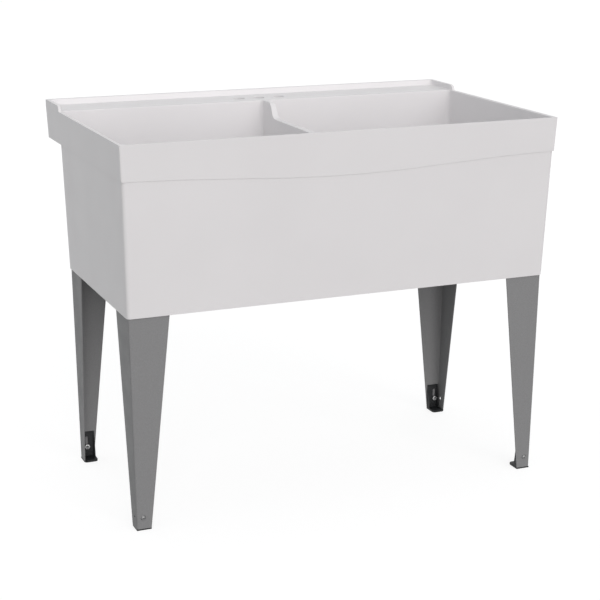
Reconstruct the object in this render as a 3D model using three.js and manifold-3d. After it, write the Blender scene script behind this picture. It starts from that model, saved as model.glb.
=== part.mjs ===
// Free-standing utility laundry sink: a one-piece moulded tub with two bowls, on four
// folded sheet-steel legs with levelling feet, and with a drain set in each bowl.
// Millimetres. X runs left to right, Y from front to back, Z up from the floor.
// The origin is on the floor, under the middle of the tub.
import * as THREE from 'three';
import { mergeVertices } from 'three/addons/utils/BufferGeometryUtils.js';
import Module from 'manifold-3d';

const wasm = await Module();
wasm.setup();

// ---- Driving dimensions ----

// Tub, outside
const WIDTH = 1016;
const DEPTH = 610;
const TUB_BOTTOM_Z = 475;
const TUB_HEIGHT = 366;
const SPLASH_RISE = 13;
const BAND_HEIGHT = 76;
const BAND_BOW = 19;
const BAND_STEP = 1.5;
const BAND_DRAFT = 3.2;
const BODY_SIDE_DRAFT = 7.3;
const BODY_FRONT_DRAFT = 12;
const BAND_CORNER_R = 4;
const BODY_CORNER_R = 9;
const WALL = 6;

// Faucet ledge behind the bowls
const LEDGE_OVERHANG = 110;
const LEDGE_SKIN = 5;
const SPLASH_FOOT = 16.5;
const SPLASH_TOP_WIDTH = 12.5;
const SPLASH_COVE_R = 2;
const SPLASH_END_WIDTH = 8.5;
const SPLASH_END_ROUND = 16;
const DECK_CORNER_R = 8;
const FAUCET_HOLE_D = 28;
const FAUCET_HOLE_SPACING = 51;
const FAUCET_HOLES = 3;
const FAUCET_LINE_FROM_BACK = 72;

// Bowls
const BOWL_RIM_CORNER_R = 9;
const BOWL_FLOOR_CORNER_R = 28;
const FLOOR_FILLET_R = 22;
const LIP_R = 3;
const FLOOR_SLOPE_DROP = 6;
const FLOOR_SKIN = 6.5;
const DIVIDER_TOP_WIDTH = 15;
const DIVIDER_DRAFT = 10;
const DIVIDER_DROP = 35.5;
const DIVIDER_RAMP_ANGLE = Math.PI / 3;
const DIVIDER_FILLET_R = 24;
const DIVIDER_SHOULDER_R = 22;
const DIVIDER_BLOCK_LENGTH = 37;
const DIVIDER_HOLLOW_CAP = 40;

// Ribs under the floor
const RIB_THICKNESS = 4;
const RIB_DEPTH = 14;
const RIB_OFFSET_Y = 115;
const RIB_OFFSET_X = 125;

// Drain set
const DRAIN_BORE_D = 36;
const DRAIN_WALL = 4;
const DRAIN_BARREL_LENGTH = 62;
const DRAIN_HOLE_CLEARANCE = 1;
const DRAIN_FLANGE_REACH = 14;
const DRAIN_FLANGE_T = 2.5;
const DRAIN_SEAT_FLARE = 3;
const DRAIN_SEAT_DEPTH = 9;
const STRAINER_BAR = 3;
const STRAINER_T = 2.5;
const GASKET_REACH = 11;
const GASKET_T = 3;
const WASHER_REACH = 9;
const WASHER_T = 1.5;
const LOCKNUT_REACH = 5;
const LOCKNUT_T = 11;
const LOCKNUT_LUGS = 8;
const LOCKNUT_LUG = 5;
const STOPPER_LIP_REACH = 5;
const STOPPER_LIP_T = 3;
const STOPPER_NECK_D = 11;
const STOPPER_NECK_LENGTH = 6;
const STOPPER_KNOB_D = 19;
const STOPPER_KNOB_T = 6;

// Legs: folded steel angles
const STEEL = 2;
const LEG_TOP_FLANGE = 90;
const LEG_FOOT_FLANGE = 33;
const LEG_LEAN = 7;
const LEG_INSET = 3;
const LEG_ENGAGEMENT = 26;
const FOLD_R = 4;
const TAB_START = 26;
const TAB_WIDTH = 34;
const TAB_REACH = 22;

// Screws through the leg tabs into the tub
const SCREW_D = 4.2;
const SCREW_LENGTH = 15;
const SCREW_HEAD_D = 9;
const SCREW_HEAD_T = 2.8;
const BOSS_D = 15;
const BOSS_LENGTH = 7;

// Levelling feet
const FOOT_PLATE = 3;
const FOOT_PAD = 2;
const FOOT_WIDTH = 33;
const FOOT_DEPTH = 38;
const FOOT_CORNER_R = 7;
const FOOT_HEIGHT = 66;
const FOOT_WALL = 3;
const FOOT_GUSSET = 2.6;
const GUSSET_TOP_REACH = 4;
const GUSSET_LOW_REACH = 12;
const GUSSET_LOW_Z = 13;
const FOOT_TRAVEL = 22;
const FOOT_RIBS = 3;
const FOOT_RIB_T = 1.6;
const FOOT_RIB_PITCH = 4.4;

// Foot bolts
const BOLT_D = 6.35;
const BOLT_HEAD_D = 11.5;
const BOLT_HEAD_T = 3.4;
const BOLT_Z = 29;
const BOLT_FROM_CORNER = 15;
const BOLT_PROTRUSION = 4;
const NUT_WIDTH = 11;
const NUT_T = 5.5;

// Gaps
const TOUCH_GAP = 0.3;
const HOLE_CLEARANCE = 0.8;

// ---- Values that follow ----

const FRONT_Y = -DEPTH / 2;
const BACK_Y = DEPTH / 2;
const RIM_Z = TUB_BOTTOM_Z + TUB_HEIGHT;
const SPLASH_TOP_Z = RIM_Z + SPLASH_RISE;
const BAND_BOTTOM_Z = RIM_Z - BAND_HEIGHT;
const BACK_WALL_Y = BACK_Y - LEDGE_OVERHANG;
const DIVIDER_TOP_Z = RIM_Z - DIVIDER_DROP;
const DRAIN_SEAT_D = DRAIN_BORE_D + 2 * DRAIN_SEAT_FLARE;
const DRAIN_BARREL_D = DRAIN_BORE_D + 2 * DRAIN_WALL;
const DRAIN_FLANGE_D = DRAIN_BARREL_D + 2 * DRAIN_FLANGE_REACH;
const FAUCET_LINE_Y = BACK_Y - FAUCET_LINE_FROM_BACK;
const LEG_TOP_Z = TUB_BOTTOM_Z + LEG_ENGAGEMENT;
const FLOOR_UNDER_Z = LEG_TOP_Z + BOSS_LENGTH;
const FLANGE_SEAT_Z = FLOOR_UNDER_Z + FLOOR_SKIN;
const DRAIN_FLOOR_Z = FLANGE_SEAT_Z + TOUCH_GAP + DRAIN_FLANGE_T;
const FLOOR_Z = DRAIN_FLOOR_Z + FLOOR_SLOPE_DROP;
const LEG_BOTTOM_Z = FOOT_PLATE + TOUCH_GAP;
const BEYOND = 40;

const SHARP_R = 0.5;
const ARC_STEPS = 6;
const ROUND_SIDES = 32;
const SMALL_ROUND_SIDES = 16;

const COLORS = {
  tub: { color: 0xd9d7d8, roughness: 0.38, metalness: 0 },
  leg: { color: 0x838384, roughness: 0.5, metalness: 0.55 },
  foot: { color: 0x222325, roughness: 0.6, metalness: 0 },
  zinc: { color: 0xb9bbbd, roughness: 0.35, metalness: 0.9 },
  steel: { color: 0xc4c6c8, roughness: 0.22, metalness: 1 },
  rubber: { color: 0x1c1c1d, roughness: 0.8, metalness: 0 },
  fibre: { color: 0x8a4a36, roughness: 0.85, metalness: 0 },
  white: { color: 0xe2e2e0, roughness: 0.5, metalness: 0 },
};

// ---- Geometry helpers ----

function arc(cx, cy, radius, start, end, steps) {
  return Array.from({ length: steps + 1 }, (_, i) => {
    const angle = start + (end - start) * (i / steps);
    return new THREE.Vector2(cx + radius * Math.cos(angle), cy + radius * Math.sin(angle));
  });
}

// A rectangle with round corners, counter-clockwise, with the same number of points at any size.
function roundedRectangle({ left, right, front, back, radius }) {
  const r = Math.max(radius, SHARP_R);
  const quarter = Math.PI / 2;
  return [
    ...arc(right - r, front + r, r, -quarter, 0, ARC_STEPS),
    ...arc(right - r, back - r, r, 0, quarter, ARC_STEPS),
    ...arc(left + r, back - r, r, quarter, 2 * quarter, ARC_STEPS),
    ...arc(left + r, front + r, r, 2 * quarter, 3 * quarter, ARC_STEPS),
  ];
}

// One closed skin through level outlines, each given as { z, points }, from the lowest up.
function loft(levels) {
  const count = levels[0].points.length;
  const positions = levels.flatMap(({ z, points }) => points.flatMap((p) => [p.x, p.y, z]));
  const indices = [];
  for (let start = 0; start < (levels.length - 1) * count; start += count) {
    for (let i = 0; i < count; i += 1) {
      const a = start + i;
      const b = start + ((i + 1) % count);
      indices.push(a, b, b + count, a, b + count, a + count);
    }
  }
  const top = (levels.length - 1) * count;
  const cap = (points) => THREE.ShapeUtils.triangulateShape(points, []);
  cap(levels[0].points).forEach(([a, b, c]) => indices.push(c, b, a));
  cap(levels.at(-1).points).forEach(([a, b, c]) => indices.push(top + a, top + b, top + c));
  const geometry = new THREE.BufferGeometry();
  geometry.setAttribute('position', new THREE.Float32BufferAttribute(positions, 3));
  geometry.setIndex(indices);
  return geometry;
}

function extrude(points, depth) {
  return new THREE.ExtrudeGeometry(new THREE.Shape(points), { depth, bevelEnabled: false });
}

// An outline in Y and Z, swept along X.
function prismAlongX(points, fromX, toX) {
  const axes = new THREE.Matrix4().makeBasis(
    new THREE.Vector3(0, 1, 0), new THREE.Vector3(0, 0, 1), new THREE.Vector3(1, 0, 0));
  return extrude(points, toX - fromX).applyMatrix4(axes).translate(fromX, 0, 0);
}

// An outline in X and Z, swept along Y.
function prismAlongY(points, fromY, toY) {
  const axes = new THREE.Matrix4().makeBasis(
    new THREE.Vector3(1, 0, 0), new THREE.Vector3(0, 0, 1), new THREE.Vector3(0, -1, 0));
  return extrude(points, toY - fromY).applyMatrix4(axes).translate(0, toY, 0);
}

function box(fromX, toX, fromY, toY, fromZ, toZ) {
  return new THREE.BoxGeometry(toX - fromX, toY - fromY, toZ - fromZ)
    .translate((fromX + toX) / 2, (fromY + toY) / 2, (fromZ + toZ) / 2);
}

// A profile of [radius, height] pairs turned round the vertical axis.
function turned(profile, sides = ROUND_SIDES) {
  const points = profile.map(([r, z]) => new THREE.Vector2(r, z));
  return new THREE.LatheGeometry(points, sides).rotateX(Math.PI / 2);
}

function cylinder(diameter, fromZ, toZ, sides = SMALL_ROUND_SIDES) {
  return new THREE.CylinderGeometry(diameter / 2, diameter / 2, toZ - fromZ, sides)
    .rotateX(Math.PI / 2).translate(0, 0, (fromZ + toZ) / 2);
}

// The geometry with shared corners merged and flat slivers dropped.
function welded(geometry) {
  const bare = geometry.clone();
  bare.deleteAttribute('normal');
  bare.deleteAttribute('uv');
  const merged = mergeVertices(bare, 1e-4);
  const kept = [];
  const index = merged.index.array;
  for (let i = 0; i < index.length; i += 3) {
    const [a, b, c] = [index[i], index[i + 1], index[i + 2]];
    if (a !== b && b !== c && c !== a) kept.push(a, b, c);
  }
  merged.setIndex(kept);
  return merged;
}

function solid(geometry) {
  const merged = welded(geometry);
  return new wasm.Manifold(new wasm.Mesh({
    numProp: 3,
    vertProperties: new Float32Array(merged.attributes.position.array),
    triVerts: new Uint32Array(merged.index.array),
  }));
}

function skin(body) {
  const { vertProperties, triVerts } = body.getMesh();
  const geometry = new THREE.BufferGeometry();
  geometry.setAttribute('position', new THREE.BufferAttribute(new Float32Array(vertProperties), 3));
  geometry.setIndex(new THREE.BufferAttribute(new Uint32Array(triVerts), 1));
  geometry.computeVertexNormals();
  return geometry;
}

function join(...geometries) {
  return geometries.map(solid).reduce((sum, piece) => sum.add(piece));
}

function cut(body, ...tools) {
  return tools.map(solid).reduce((rest, tool) => rest.subtract(tool), body);
}

function mirrored(geometry, sideX, sideY) {
  const flipped = geometry.clone().scale(sideX, sideY, 1);
  if (sideX * sideY > 0) return flipped;
  const whole = flipped.index ? flipped : mergeVertices(flipped);
  const index = Array.from(whole.index.array);
  for (let i = 0; i < index.length; i += 3) [index[i], index[i + 1]] = [index[i + 1], index[i]];
  whole.setIndex(index);
  return whole;
}

const model = new THREE.Group();
const finishes = Object.fromEntries(
  Object.entries(COLORS).map(([name, look]) => [name, new THREE.MeshStandardMaterial(look)]));

function addPiece(name, geometry, finish, place = [0, 0, 0], parent = model) {
  const mesh = new THREE.Mesh(geometry, finishes[finish]);
  mesh.name = name;
  mesh.position.set(...place);
  parent.add(mesh);
  return mesh;
}

// ---- Tub ----

// How far the moulding draws in below the band, and spreads above its lower edge.
const bodyShareAt = (z) => (BAND_BOTTOM_Z - z) / (BAND_BOTTOM_Z - TUB_BOTTOM_Z);
const bandDraftAt = (z) => (BAND_DRAFT * Math.max(0, RIM_Z - z)) / BAND_HEIGHT;

function bodyOutline(z, inward = 0) {
  const inset = BAND_DRAFT + BAND_STEP + inward;
  const side = inset + BODY_SIDE_DRAFT * bodyShareAt(z);
  const front = inset + BODY_FRONT_DRAFT * bodyShareAt(z);
  return {
    left: -WIDTH / 2 + side,
    right: WIDTH / 2 - side,
    front: FRONT_Y + front,
    back: BACK_WALL_Y - BODY_FRONT_DRAFT * bodyShareAt(z) - inward,
    radius: BODY_CORNER_R - inward,
  };
}

function bandOutline(z, inward = 0, radius = BAND_CORNER_R) {
  const inset = bandDraftAt(z) + inward;
  return {
    left: -WIDTH / 2 + inset, right: WIDTH / 2 - inset, front: FRONT_Y + inset, back: BACK_Y - inset, radius,
  };
}

const level = (z, outline) => ({ z, points: roundedRectangle(outline) });

// An S-shaped rise from 0 to 1, as [step, share] pairs.
const eased = (steps) => Array.from({ length: steps + 1 }, (_, i) => {
  const step = i / steps;
  return [step, (1 - Math.cos(Math.PI * step)) / 2];
});

// The quarter of a circle, as pairs of the distances covered along and across its first direction.
const quarterRound = eased(ARC_STEPS).map(([step]) => {
  const angle = (Math.PI / 2) * step;
  return { along: Math.sin(angle), across: 1 - Math.cos(angle) };
});

// The band round the top: its lower edge is level at the sides and back, and bows down at the front.
function bandBody() {
  const lowest = BAND_BOTTOM_Z - BAND_BOW - BAND_STEP;
  const block = solid(loft([lowest, RIM_Z, SPLASH_TOP_Z].map((z) => level(z, bandOutline(z)))));
  const half = WIDTH / 2 + BEYOND;
  const rightHalf = eased(2 * ARC_STEPS).map(([step, share]) => new THREE.Vector2(
    (WIDTH / 2) * step, BAND_BOTTOM_Z - BAND_BOW * (1 - share)));
  const leftHalf = rightHalf.slice(1).map((p) => new THREE.Vector2(-p.x, p.y));
  const underBow = [
    new THREE.Vector2(-half, lowest - BEYOND),
    new THREE.Vector2(half, lowest - BEYOND),
    new THREE.Vector2(half, BAND_BOTTOM_Z),
    ...rightHalf.reverse(),
    ...leftHalf,
    new THREE.Vector2(-half, BAND_BOTTOM_Z),
  ];
  const behindFront = bodyOutline(BAND_BOTTOM_Z, WALL / 2).front;
  return cut(block,
    prismAlongY(underBow, FRONT_Y - BEYOND, BACK_Y + BEYOND),
    box(-half, half, behindFront, BACK_Y + BEYOND, lowest - BEYOND, BAND_BOTTOM_Z));
}

// The hollow under the faucet ledge, open downwards, behind the bowls' back wall.
function ledgeHollow() {
  const outline = (z) => ({
    ...bandOutline(z, LEDGE_SKIN, SHARP_R),
    front: BACK_WALL_Y - WALL / 2,
  });
  return loft([BAND_BOTTOM_Z - BEYOND, RIM_Z - LEDGE_SKIN].map((z) => level(z, outline(z))));
}

// What is cleared away above the deck, inside the splash along the back and its two ends,
// with a small cove at the foot of the splash.
function deckPocket() {
  const ring = (z, backWidth, out = 0) => level(z, {
    left: -WIDTH / 2 + SPLASH_END_WIDTH + out,
    right: WIDTH / 2 - SPLASH_END_WIDTH - out,
    front: FRONT_Y - BEYOND,
    back: BACK_Y - backWidth - out,
    radius: DECK_CORNER_R,
  });
  const cove = quarterRound.map(({ along, across }) => ring(
    RIM_Z + SPLASH_COVE_R * across, SPLASH_FOOT, SPLASH_COVE_R * (1 - along)));
  return loft([...cove, ring(SPLASH_TOP_Z, SPLASH_TOP_WIDTH), ring(SPLASH_TOP_Z + BEYOND, SPLASH_TOP_WIDTH)]);
}

// What is cleared away above the rims, in front of the splash's two ends, which are rounded off.
function aboveRims() {
  const endY = bodyOutline(RIM_Z, 3 * WALL).back;
  const curve = quarterRound.map(({ along, across }) => new THREE.Vector2(
    endY + SPLASH_END_ROUND * across, RIM_Z + SPLASH_RISE * along));
  const top = SPLASH_TOP_Z + BEYOND;
  const outline = [
    new THREE.Vector2(FRONT_Y - BEYOND, RIM_Z),
    ...curve,
    new THREE.Vector2(endY + SPLASH_END_ROUND, top),
    new THREE.Vector2(FRONT_Y - BEYOND, top),
  ];
  return prismAlongX(outline, -WIDTH / 2 - BEYOND, WIDTH / 2 + BEYOND);
}

const dividerHalfAt = (z) => DIVIDER_TOP_WIDTH / 2
  + (DIVIDER_DRAFT * (DIVIDER_TOP_Z - z)) / (DIVIDER_TOP_Z - FLOOR_Z);

// A bowl's corners are tight at the rim and widen towards the floor.
const bowlCornerAt = (z) => BOWL_RIM_CORNER_R
  + ((BOWL_FLOOR_CORNER_R - BOWL_RIM_CORNER_R) * (RIM_Z - z)) / (RIM_Z - FLOOR_Z);

// The heights and spreads of a bowl's walls, from the floor fillet up to the rounded lip.
function bowlWallLevels() {
  const lip = [0, 0.5, 1].map((step) => ({
    z: RIM_Z - LIP_R * (1 - Math.sin((Math.PI / 2) * step)),
    spread: LIP_R * (1 - Math.cos((Math.PI / 2) * step)),
  }));
  return [{ z: FLOOR_Z + FLOOR_FILLET_R, spread: 0 }, ...lip, { z: RIM_Z + BEYOND, spread: LIP_R }];
}

function bowlOutline(side, z, inward) {
  const outer = bodyOutline(Math.min(z, RIM_Z), WALL + inward);
  const inner = dividerHalfAt(Math.min(z, RIM_Z)) + inward;
  const radius = bowlCornerAt(Math.min(z, RIM_Z)) - inward;
  const span = side > 0 ? { left: inner, right: outer.right } : { left: outer.left, right: -inner };
  return { ...span, front: outer.front, back: outer.back, radius };
}

function bowlCentre(side) {
  const floor = bowlOutline(side, FLOOR_Z, 0);
  return new THREE.Vector2((floor.left + floor.right) / 2, (floor.front + floor.back) / 2);
}

// The room inside one bowl, down to the seat of the drain flange.
function bowlRoom(side) {
  const centre = bowlCentre(side);
  const fillet = quarterRound.map(({ along, across }) => {
    const z = FLOOR_Z + FLOOR_FILLET_R * across;
    return level(z, bowlOutline(side, z, FLOOR_FILLET_R * (1 - along)));
  });
  const count = fillet[0].points.length;
  const start = -Math.PI / 4 - (Math.PI * ARC_STEPS) / count;
  const around = arc(centre.x, centre.y, DRAIN_FLANGE_D / 2 + TOUCH_GAP,
    start, start + 2 * Math.PI, count).slice(0, -1);
  const walls = bowlWallLevels().map(({ z, spread }) => level(z, bowlOutline(side, z, -spread)));
  return loft([
    { z: FLANGE_SEAT_Z, points: around },
    { z: DRAIN_FLOOR_Z, points: around },
    ...fillet,
    ...walls.slice(1),
  ]);
}

// What is cleared away above the divider. Its top is level, and ramps up to the height of
// the deck at its back end.
function aboveDivider() {
  const half = dividerHalfAt(DIVIDER_TOP_Z) + BOWL_FLOOR_CORNER_R + WALL;
  const room = loft(bowlWallLevels().map(({ z, spread }) => level(z, {
    ...bodyOutline(Math.min(z, RIM_Z), WALL - spread), left: -half, right: half, radius: 0 })));
  const blockY = bodyOutline(RIM_Z, WALL).back - DIVIDER_BLOCK_LENGTH;
  const rounds = DIVIDER_FILLET_R + DIVIDER_SHOULDER_R;
  const straightRise = DIVIDER_DROP - rounds * (1 - Math.cos(DIVIDER_RAMP_ANGLE));
  const rampRun = rounds * Math.sin(DIVIDER_RAMP_ANGLE) + straightRise / Math.tan(DIVIDER_RAMP_ANGLE);
  const quarter = Math.PI / 2;
  const top = RIM_Z + BEYOND;
  const outline = [
    new THREE.Vector2(FRONT_Y - BEYOND, DIVIDER_TOP_Z),
    ...arc(blockY - rampRun, DIVIDER_TOP_Z + DIVIDER_FILLET_R, DIVIDER_FILLET_R,
      -quarter, DIVIDER_RAMP_ANGLE - quarter, ARC_STEPS),
    ...arc(blockY, RIM_Z - DIVIDER_SHOULDER_R, DIVIDER_SHOULDER_R,
      DIVIDER_RAMP_ANGLE + quarter, quarter, ARC_STEPS),
    new THREE.Vector2(blockY, top),
    new THREE.Vector2(FRONT_Y - BEYOND, top),
  ];
  return solid(room).intersect(solid(prismAlongX(outline, -half - BEYOND, half + BEYOND)));
}

// The open underside, inside the skirt that hangs below the bowls' floors.
function skirtRoom() {
  const from = TUB_BOTTOM_Z - BEYOND;
  return loft([from, FLOOR_UNDER_Z].map((z) => level(z, bodyOutline(z, WALL))));
}

// The tapered hollow inside the divider, open downwards.
function dividerHollow() {
  const from = TUB_BOTTOM_Z - BEYOND;
  const to = DIVIDER_TOP_Z - DIVIDER_HOLLOW_CAP;
  return loft([from, to].map((z) => level(z, {
    ...bodyOutline(z, 2 * WALL), left: WALL - dividerHalfAt(z), right: dividerHalfAt(z) - WALL, radius: 0,
  })));
}

function floorRibs() {
  const from = FLOOR_UNDER_Z - RIB_DEPTH;
  const to = FLOOR_UNDER_Z + FLOOR_SKIN / 2;
  const inside = bodyOutline(from, WALL / 2);
  const half = RIB_THICKNESS / 2;
  const lengthwise = [-RIB_OFFSET_Y, RIB_OFFSET_Y].map((offset) => {
    const y = (inside.front + inside.back) / 2 + offset;
    return box(inside.left, inside.right, y - half, y + half, from, to);
  });
  const crosswise = [-1, 1].flatMap((side) => [-RIB_OFFSET_X, RIB_OFFSET_X].map((offset) => {
    const x = bowlCentre(side).x + offset;
    return box(x - half, x + half, inside.front, inside.back, from, to);
  }));
  return [...lengthwise, ...crosswise];
}

// ---- Legs ----

// A leg is drawn with its outer corner at 0,0 at the tub's lower edge, and with both
// flanges running towards +X and +Y; it is then mirrored into its corner of the tub.
function legOutline(z, grow = 0, thick = STEEL) {
  const share = (TUB_BOTTOM_Z - z) / (TUB_BOTTOM_Z - LEG_BOTTOM_Z);
  const flange = LEG_TOP_FLANGE + (LEG_FOOT_FLANGE - LEG_TOP_FLANGE) * share + grow;
  const lean = LEG_LEAN * share;
  const inner = thick + FOLD_R - STEEL;
  const fold = Math.PI / 2;
  const outline = [
    new THREE.Vector2(flange, -grow),
    new THREE.Vector2(flange, thick),
    ...arc(inner, inner, FOLD_R - STEEL, -fold, -2 * fold, 3),
    new THREE.Vector2(thick, flange),
    new THREE.Vector2(-grow, flange),
    ...arc(FOLD_R - grow, FOLD_R - grow, FOLD_R, 2 * fold, 3 * fold, 3),
  ];
  return { z, points: outline.map((p) => new THREE.Vector2(p.x + lean, p.y)) };
}

function legTab() {
  const thick = [LEG_TOP_Z - STEEL, LEG_TOP_Z];
  const along = [TAB_START, TAB_START + TAB_WIDTH];
  const across = [STEEL / 2, STEEL / 2 + TAB_REACH];
  return [box(...along, ...across, ...thick), box(...across, ...along, ...thick)];
}

const screwPlaces = [0, 1].map((flange) => {
  const along = TAB_START + TAB_WIDTH / 2;
  const across = STEEL / 2 + TAB_REACH / 2;
  return flange === 0 ? [along, across] : [across, along];
});

const legCornerAtBolt = (LEG_LEAN * (TUB_BOTTOM_Z - BOLT_Z)) / (TUB_BOTTOM_Z - LEG_BOTTOM_Z);
const boltPlaceX = legCornerAtBolt + BOLT_FROM_CORNER;

function legGeometry() {
  const angle = loft([legOutline(LEG_BOTTOM_Z), legOutline(TUB_BOTTOM_Z), legOutline(LEG_TOP_Z)]);
  const screwHoles = screwPlaces.map(([x, y]) => cylinder(
    SCREW_D + HOLE_CLEARANCE, LEG_TOP_Z - BEYOND / 4, LEG_TOP_Z + BEYOND / 4).translate(x, y, 0));
  const boltHole = cylinder(BOLT_D + HOLE_CLEARANCE, -BEYOND / 4, BEYOND / 4)
    .rotateX(-Math.PI / 2).translate(boltPlaceX, 0, BOLT_Z);
  const spareHole = cylinder(BOLT_D + HOLE_CLEARANCE, -BEYOND / 4, BEYOND / 4)
    .rotateY(Math.PI / 2).translate(legCornerAtBolt, BOLT_FROM_CORNER, BOLT_Z);
  return skin(cut(join(angle, ...legTab()), ...screwHoles, boltHole, spareHole));
}

// The step that a leg's top end slides up into, on the inside of the skirt.
function legSocket() {
  const thick = WALL - LEG_INSET + 3 * TOUCH_GAP;
  return loft([TUB_BOTTOM_Z - BEYOND, LEG_TOP_Z + TOUCH_GAP].map((z) => legOutline(z, TOUCH_GAP, thick)));
}

const corners = [
  { name: 'front_left', sideX: -1, sideY: -1 },
  { name: 'front_right', sideX: 1, sideY: -1 },
  { name: 'back_left', sideX: -1, sideY: 1 },
  { name: 'back_right', sideX: 1, sideY: 1 },
].map((corner) => {
  const edge = bodyOutline(TUB_BOTTOM_Z, LEG_INSET);
  const x = corner.sideX > 0 ? edge.right : edge.left;
  const y = corner.sideY > 0 ? edge.back : edge.front;
  return { ...corner, x, y };
});

// Moves a geometry drawn in a leg's own corner into that corner of the tub.
function intoCorner(geometry, { sideX, sideY, x, y }) {
  return mirrored(geometry, -sideX, -sideY).translate(x, y, 0);
}

function tubGeometry() {
  const bodyTop = RIM_Z - LEDGE_SKIN / 2;
  const body = solid(loft([TUB_BOTTOM_Z, bodyTop].map((z) => level(z, bodyOutline(z)))));
  const band = cut(bandBody(), ledgeHollow());
  let tub = body.add(band);
  tub = cut(tub, deckPocket(), aboveRims(), skirtRoom());
  const bosses = corners.flatMap((corner) => screwPlaces.map(([x, y]) => intoCorner(
    cylinder(BOSS_D, LEG_TOP_Z + TOUCH_GAP, FLOOR_UNDER_Z + FLOOR_SKIN / 2).translate(x, y, 0), corner)));
  tub = [...floorRibs(), ...bosses].map(solid).reduce((sum, piece) => sum.add(piece), tub);
  const rooms = solid(bowlRoom(-1)).add(solid(bowlRoom(1))).add(aboveDivider());
  tub = tub.subtract(rooms);
  const pilotHoles = corners.flatMap((corner) => screwPlaces.map(([x, y]) => intoCorner(
    cylinder(SCREW_D + 2 * TOUCH_GAP, LEG_TOP_Z - BEYOND / 4, LEG_TOP_Z + SCREW_LENGTH)
      .translate(x, y, 0), corner)));
  const drainHoles = [-1, 1].map(bowlCentre).map((centre) => cylinder(
    DRAIN_BARREL_D + 2 * DRAIN_HOLE_CLEARANCE, FLOOR_UNDER_Z - BEYOND, FLOOR_Z, ROUND_SIDES)
    .translate(centre.x, centre.y, 0));
  const faucetHoles = Array.from({ length: FAUCET_HOLES }, (_, i) => cylinder(
    FAUCET_HOLE_D, RIM_Z - BEYOND, SPLASH_TOP_Z, ROUND_SIDES)
    .translate((i - (FAUCET_HOLES - 1) / 2) * FAUCET_HOLE_SPACING, FAUCET_LINE_Y, 0));
  const sockets = corners.map((corner) => intoCorner(legSocket(), corner));
  return skin(cut(tub, dividerHollow(), ...sockets, ...pilotHoles, ...drainHoles, ...faucetHoles));
}

// ---- Feet, drawn in the same corner as their leg, standing on the floor ----

const footLeft = LEG_LEAN;
const footRight = footLeft + FOOT_WIDTH;
const footInsideX = footLeft + FOLD_R + TOUCH_GAP;
const footWallY = STEEL + TOUCH_GAP;
const footWallBackY = footWallY + FOOT_WALL;

function footPlate() {
  const quarter = Math.PI / 2;
  const r = FOOT_CORNER_R;
  const rounded = (left, front) => [
    new THREE.Vector2(left, front),
    new THREE.Vector2(footRight, front),
    ...arc(footRight - r, FOOT_DEPTH - r, r, 0, quarter, 3),
    ...arc(left + r, FOOT_DEPTH - r, r, quarter, 2 * quarter, 3),
  ];
  const plate = extrude(rounded(footLeft, 0), FOOT_PLATE);
  const pad = extrude(rounded(footInsideX, footWallY), FOOT_PLATE + FOOT_PAD);
  return [plate, pad];
}

function footGusset(fromX) {
  const outline = [
    [footWallY, 0],
    [footWallY + GUSSET_LOW_REACH, 0],
    [footWallY + GUSSET_LOW_REACH, GUSSET_LOW_Z],
    [footWallY + GUSSET_TOP_REACH, FOOT_HEIGHT],
    [footWallY, FOOT_HEIGHT],
  ].map(([y, z]) => new THREE.Vector2(y, z));
  return prismAlongX(outline, fromX, fromX + FOOT_GUSSET);
}

// The slot lets the foot slide down past its bolt, which sits at the slot's lower end at rest.
function footSlot() {
  const r = (BOLT_D + HOLE_CLEARANCE) / 2;
  const outline = [
    ...arc(boltPlaceX, BOLT_Z, r, -Math.PI, 0, ARC_STEPS),
    ...arc(boltPlaceX, BOLT_Z + FOOT_TRAVEL, r, 0, Math.PI, ARC_STEPS),
  ];
  return prismAlongY(outline, footWallY - BEYOND / 4, footWallBackY + BEYOND / 4);
}

function footRibs() {
  return Array.from({ length: FOOT_RIBS }, (_, i) => {
    const z = FOOT_PLATE + FOOT_PAD + (i + 0.5) * FOOT_RIB_PITCH;
    const [front, back] = [footWallY + FOOT_WALL / 2, footWallBackY + FOOT_RIB_T];
    return box(footInsideX, footRight, front, back, z, z + FOOT_RIB_T);
  });
}

function footGeometry() {
  const wall = box(footInsideX, footRight, footWallY, footWallBackY, 0, FOOT_HEIGHT);
  const gussets = [footInsideX, footRight - FOOT_GUSSET].map(footGusset);
  return skin(cut(join(...footPlate(), wall, ...gussets, ...footRibs()), footSlot()));
}

// ---- Bolts, nuts and screws ----

// A round-headed bolt lying along Y, with the underside of its head at Y = 0.
function boltGeometry() {
  const gripped = STEEL + FOOT_WALL + 3 * TOUCH_GAP + NUT_T;
  const length = gripped + BOLT_PROTRUSION;
  const dome = quarterRound.map(({ along, across }) => [
    (BOLT_HEAD_D / 2) * along, BOLT_HEAD_T * (across - 1)]);
  const profile = [...dome, [BOLT_D / 2, 0], [BOLT_D / 2, length], [0, length]];
  return skin(solid(turned(profile, SMALL_ROUND_SIDES))).rotateX(-Math.PI / 2);
}

// A hexagon nut lying along Y, with its bearing face at Y = 0.
function nutGeometry() {
  const across = (2 * NUT_WIDTH) / Math.sqrt(3);
  const bevel = (across - NUT_WIDTH) / 2;
  const hexagon = solid(cylinder(across, 0, NUT_T, 6));
  const bevelled = solid(turned([
    [0, 0], [across / 2, 0], [across / 2, NUT_T - bevel], [across / 2 - 2 * bevel, NUT_T], [0, NUT_T],
  ], 2 * SMALL_ROUND_SIDES));
  const bore = cylinder(BOLT_D + 2 * TOUCH_GAP, -BEYOND / 4, NUT_T + BEYOND / 4);
  return skin(cut(hexagon.intersect(bevelled), bore)).rotateX(-Math.PI / 2);
}

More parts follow.
